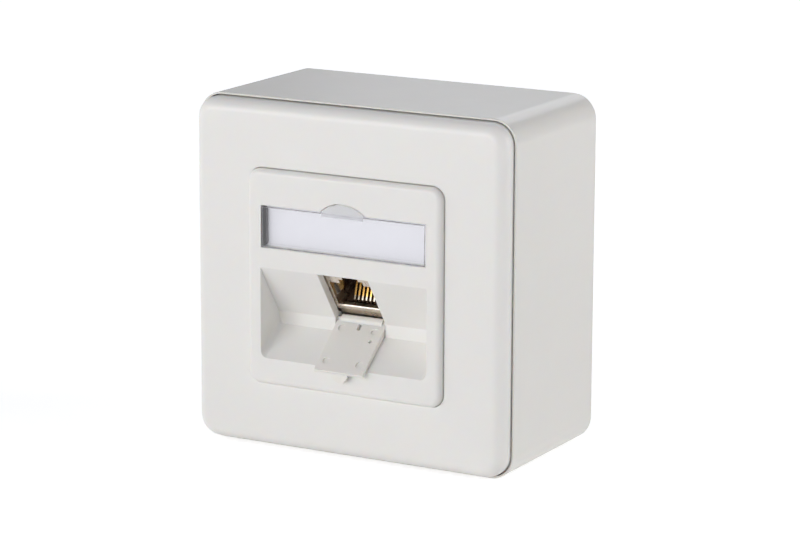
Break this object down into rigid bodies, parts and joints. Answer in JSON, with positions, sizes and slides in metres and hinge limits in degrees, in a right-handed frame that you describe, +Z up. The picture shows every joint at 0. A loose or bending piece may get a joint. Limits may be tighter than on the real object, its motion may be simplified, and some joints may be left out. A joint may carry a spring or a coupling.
{
  "type": "surface mount jack box",
  "caption": "Square wall box with a rounded cover frame, a centre plate with a label window, and a slanted data jack behind a hinged dust flap.",
  "frame": {"origin": "centre of the back face, midway between the two wall screw holes, in the plane of the wall", "axes": "+X right, +Y into the wall, +Z up; the front looks along -Y"},
  "size_m": [0.0814, 0.0475, 0.0814],
  "materials": {
    "box_white": "fine moulded, satin",
    "cover_white": "smooth moulded, soft gloss",
    "flap_white": "smooth moulded, soft gloss",
    "label_card": "plain card",
    "clear_window": "clear, polished",
    "ring_steel": "zinc plated sheet",
    "screw_steel": "zinc plated",
    "jack_metal": "nickel plated die casting",
    "insulator": "moulded",
    "board": "coated board",
    "contact_gold": "gold plated spring wire",
    "terminal_tin": "tin plated",
    "spring_steel": "bright strip",
    "clamp_plastic": "moulded"
  },
  "bodies": {
    "housing": {"surface_box": "box_white", "cover_frame": "cover_white", "centre_plate": "cover_white", "label_card": "label_card", "support_ring": "ring_steel", "ring_screws": "screw_steel", "plate_screw": "screw_steel", "jack_housing": "jack_metal", "rear_shell": "jack_metal", "contact_carrier": "insulator", "circuit_board": "board", "idc_block": "insulator", "wire_cap": "insulator", "shield_spring_left": "spring_steel", "shield_spring_right": "spring_steel", "earth_tab": "spring_steel", "cable_clamp": "clamp_plastic", "clamp_screws": "screw_steel", "contact_1": "contact_gold", "idc_contact_1": "terminal_tin", "contact_2": "contact_gold", "idc_contact_2": "terminal_tin", "contact_3": "contact_gold", "idc_contact_3": "terminal_tin", "contact_4": "contact_gold", "idc_contact_4": "terminal_tin", "contact_5": "contact_gold", "idc_contact_5": "terminal_tin", "contact_6": "contact_gold", "idc_contact_6": "terminal_tin", "contact_7": "contact_gold", "idc_contact_7": "terminal_tin", "contact_8": "contact_gold", "idc_contact_8": "terminal_tin"},
    "flap": {"dust_flap": "flap_white"},
    "window": {"label_window": "clear_window"}
  },
  "joints": [
    {"name": "flap_hinge", "type": "hinge", "parent": "housing", "child": "flap", "pos_m": [0, -0.03587, -0.00981], "axis": [-1, 0, 0], "range_deg": [0, 93.2]},
    {"name": "window_slide", "type": "slide", "parent": "housing", "child": "window", "axis": [0, -1, 0], "range_m": [0, 0.006]}
  ]
}
